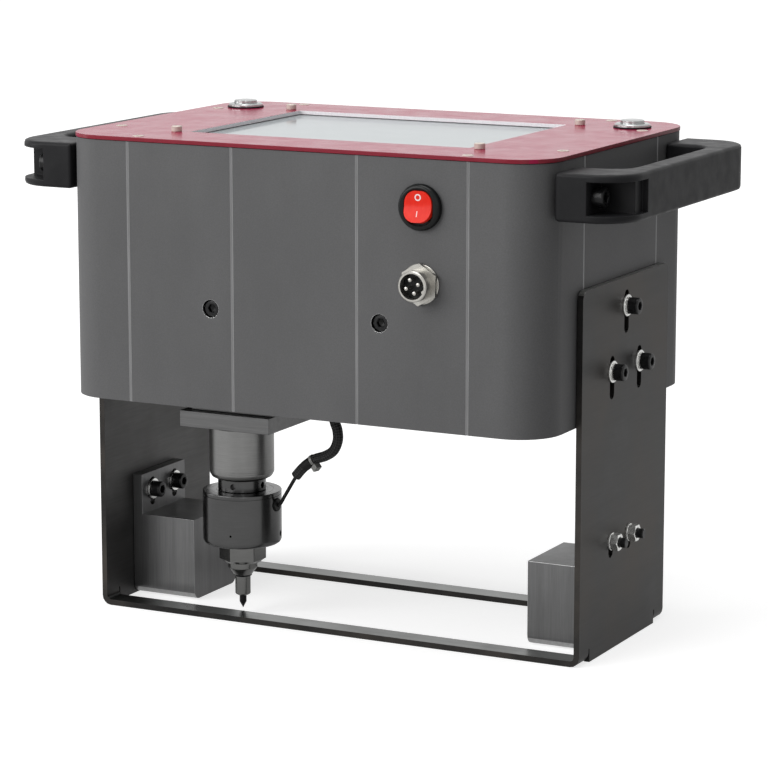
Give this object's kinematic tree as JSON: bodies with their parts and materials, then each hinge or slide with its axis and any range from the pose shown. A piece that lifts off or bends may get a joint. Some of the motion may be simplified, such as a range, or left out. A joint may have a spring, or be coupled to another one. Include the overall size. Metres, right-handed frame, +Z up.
{
  "type": "dot peen marking machine",
  "caption": "Portable dot-peen marking machine: grey casing with a red top plate and a screen, a marking head on an XY stage, bent-sheet leg frame, side stops and handles.",
  "frame": {"origin": "on the surface that the machine stands on, below the middle of the whole machine, from the front of the power socket to the rear edge of the top plate", "axes": "+X along the long side to the right, +Y away from the operator, +Z up"},
  "size_m": [0.345, 0.1984, 0.2607],
  "materials": {
    "leg_steel": "dark rolled sheet steel, brushed",
    "block_steel": "ground steel",
    "casing_grey": "satin dark grey anodised extrusion",
    "red_plate": "glossy dark red",
    "screen_glass": "clear cover glass",
    "display_grey": "pale grey display face",
    "board_green": "green circuit board",
    "black_nylon": "glass-filled black nylon",
    "black_steel": "black oxide steel",
    "zinc_steel": "bright zinc plated",
    "aluminium": "machined and brushed",
    "bright_steel": "turned bright steel",
    "chrome": "bright nickel or chrome plate",
    "copper": "enamelled copper winding",
    "black_rubber": "black cable jacket and braid",
    "rocker_red": "translucent red"
  },
  "bodies": {
    "frame": {"leg_frame": "leg_steel", "left_block_bolt_front": "black_steel", "left_block_nut_front": "zinc_steel", "left_block_bolt_rear": "black_steel", "left_block_nut_rear": "zinc_steel", "right_block_bolt_front": "black_steel", "right_block_nut_front": "zinc_steel", "right_block_bolt_rear": "black_steel", "right_block_nut_rear": "zinc_steel"},
    "left_block": {"left_side_block": "block_steel"},
    "right_block": {"right_side_block": "block_steel"},
    "casing": {"casing": "casing_grey", "top_plate": "red_plate", "screen_glass": "screen_glass", "display_module": "display_grey", "control_board": "board_green", "switch_body": "black_nylon", "power_socket": "chrome", "left_button_body": "chrome", "right_button_body": "chrome", "left_handle": "black_nylon", "right_handle": "black_nylon", "front_beam": "aluminium", "rear_beam": "aluminium", "front_rail": "bright_steel", "rear_rail": "bright_steel", "beam_screw_left": "black_steel", "beam_screw_right": "black_steel", "x_motor": "black_steel", "left_clamp_bolt_upper": "black_steel", "left_clamp_bolt_front": "black_steel", "left_clamp_bolt_rear": "black_steel", "right_clamp_bolt_upper": "black_steel", "right_clamp_bolt_front": "black_steel", "right_clamp_bolt_rear": "black_steel"},
    "rocker": {"switch_rocker": "rocker_red"},
    "left_button": {"left_button_cap": "chrome"},
    "right_button": {"right_button_cap": "chrome"},
    "x_screw": {"x_screw": "bright_steel"},
    "x_stage": {"front_x_car": "black_steel", "rear_x_car": "black_steel", "bridge": "aluminium", "y_rail": "bright_steel", "y_motor": "black_steel"},
    "y_screw": {"y_screw": "bright_steel"},
    "y_stage": {"y_car": "black_steel", "y_carriage": "aluminium", "cable_clamp": "black_nylon", "head_plate": "aluminium", "mounting_sleeve": "aluminium", "clamp_collar": "aluminium", "coil_housing": "bright_steel", "coil": "copper", "nose_nut": "bright_steel", "nose_tube": "bright_steel", "stylus_spring": "bright_steel", "cable_grommet": "black_rubber", "head_cable": "black_rubber", "cable_sleeve": "black_rubber"},
    "stylus": {"stylus": "bright_steel"}
  },
  "joints": [
    {"name": "casing_height", "type": "slide", "parent": "frame", "child": "casing", "axis": [0, 0, 1], "range_m": [-0.0105, 0.005]},
    {"name": "left_block_height", "type": "slide", "parent": "frame", "child": "left_block", "axis": [0, 0, 1], "range_m": [0, 0.006]},
    {"name": "right_block_height", "type": "slide", "parent": "frame", "child": "right_block", "axis": [0, 0, 1], "range_m": [0, 0.006]},
    {"name": "x_travel", "type": "slide", "parent": "casing", "child": "x_stage", "axis": [1, 0, 0], "range_m": [-0.011, 0.122]},
    {"name": "x_screw_turn", "type": "hinge", "parent": "casing", "child": "x_screw", "pos_m": [0.0963, 0.0738, 0.17], "axis": [1, 0, 0], "range_deg": [-5500, 500]},
    {"name": "y_travel", "type": "slide", "parent": "x_stage", "child": "y_stage", "axis": [0, 1, 0], "range_m": [0, 0.066]},
    {"name": "y_screw_turn", "type": "hinge", "parent": "x_stage", "child": "y_screw", "pos_m": [-0.062, 0.0378, 0.1778], "axis": [0, 1, 0], "range_deg": [-2980, 5]},
    {"name": "stylus_stroke", "type": "slide", "parent": "y_stage", "child": "stylus", "axis": [0, 0, 1], "range_m": [-0.003, 0], "stiffness_N_per_m": 1500, "springref_m": 0.002, "deforming": ["stylus_spring"]},
    {"name": "power_switch", "type": "hinge", "parent": "casing", "child": "rocker", "pos_m": [0.07, -0.0901, 0.231], "axis": [1, 0, 0], "range_deg": [0, 20]},
    {"name": "left_button_press", "type": "slide", "parent": "casing", "child": "left_button", "axis": [0, 0, 1], "range_m": [-0.0015, 0], "stiffness_N_per_m": 500, "springref_m": 0.002},
    {"name": "right_button_press", "type": "slide", "parent": "casing", "child": "right_button", "axis": [0, 0, 1], "range_m": [-0.0015, 0], "stiffness_N_per_m": 500, "springref_m": 0.002}
  ],
  "couplings": [
    {"joint": "x_screw_turn", "follows": "x_travel", "rad_per_m": -785.4},
    {"joint": "y_screw_turn", "follows": "y_travel", "rad_per_m": -785.4}
  ]
}
